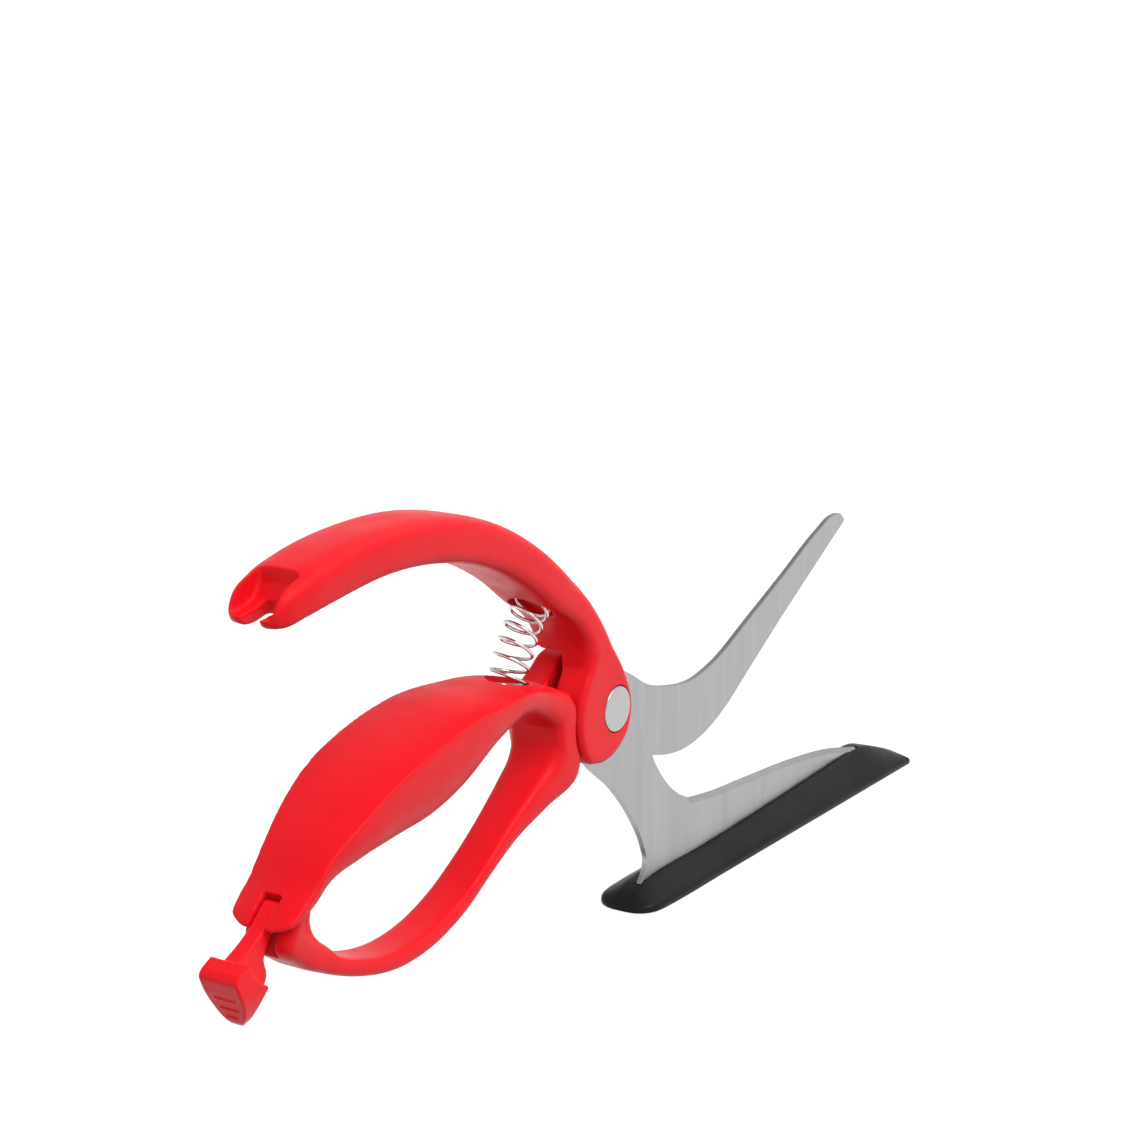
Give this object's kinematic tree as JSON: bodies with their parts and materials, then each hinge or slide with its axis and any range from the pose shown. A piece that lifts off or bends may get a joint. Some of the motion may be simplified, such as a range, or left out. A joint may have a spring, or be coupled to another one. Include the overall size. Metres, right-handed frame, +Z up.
{
  "type": "offset kitchen shears",
  "caption": "Spring-loaded offset kitchen shears: two arched moulded handles with a finger loop and a swinging latch, short blades below, and a flat sled under the lower blade.",
  "frame": {"origin": "centre of the sled's flat bottom face", "axes": "+X forward along the blades, +Y to the far side along the pivot rivet, +Z up from the surface that the sled slides on"},
  "size_m": [0.3118, 0.0274, 0.1226],
  "materials": {
    "blade_steel": "stainless sheet with a fine vertical brushed grain",
    "rivet_steel": "flat, finely machined head",
    "spring_steel": "bright drawn wire",
    "handle_red": "satin moulded, finely textured outside and smoother inside",
    "latch_red": "smooth moulded",
    "sled_black": "satin moulded nylon"
  },
  "bodies": {
    "fixed_half": {"lower_blade": "blade_steel", "blade_sled": "sled_black", "upper_handle": "handle_red", "pivot_stud": "rivet_steel", "pivot_cap": "rivet_steel", "tension_washer": "spring_steel", "return_spring": "spring_steel"},
    "moving_half": {"upper_blade": "blade_steel", "lower_handle": "handle_red", "latch_pin": "rivet_steel"},
    "latch": {"latch": "latch_red"}
  },
  "joints": [
    {"name": "pivot", "type": "hinge", "parent": "fixed_half", "child": "moving_half", "pos_m": [-0.094, 0, 0.06], "axis": [0, 1, 0], "range_deg": [0, 27], "stiffness_Nm_per_rad": 1, "springref_deg": -5.73, "deforming": ["return_spring"]},
    {"name": "latch_hinge", "type": "hinge", "parent": "moving_half", "child": "latch", "pos_m": [-0.217, 0, 0.0455], "axis": [0, 1, 0], "range_deg": [0, 46]}
  ]
}
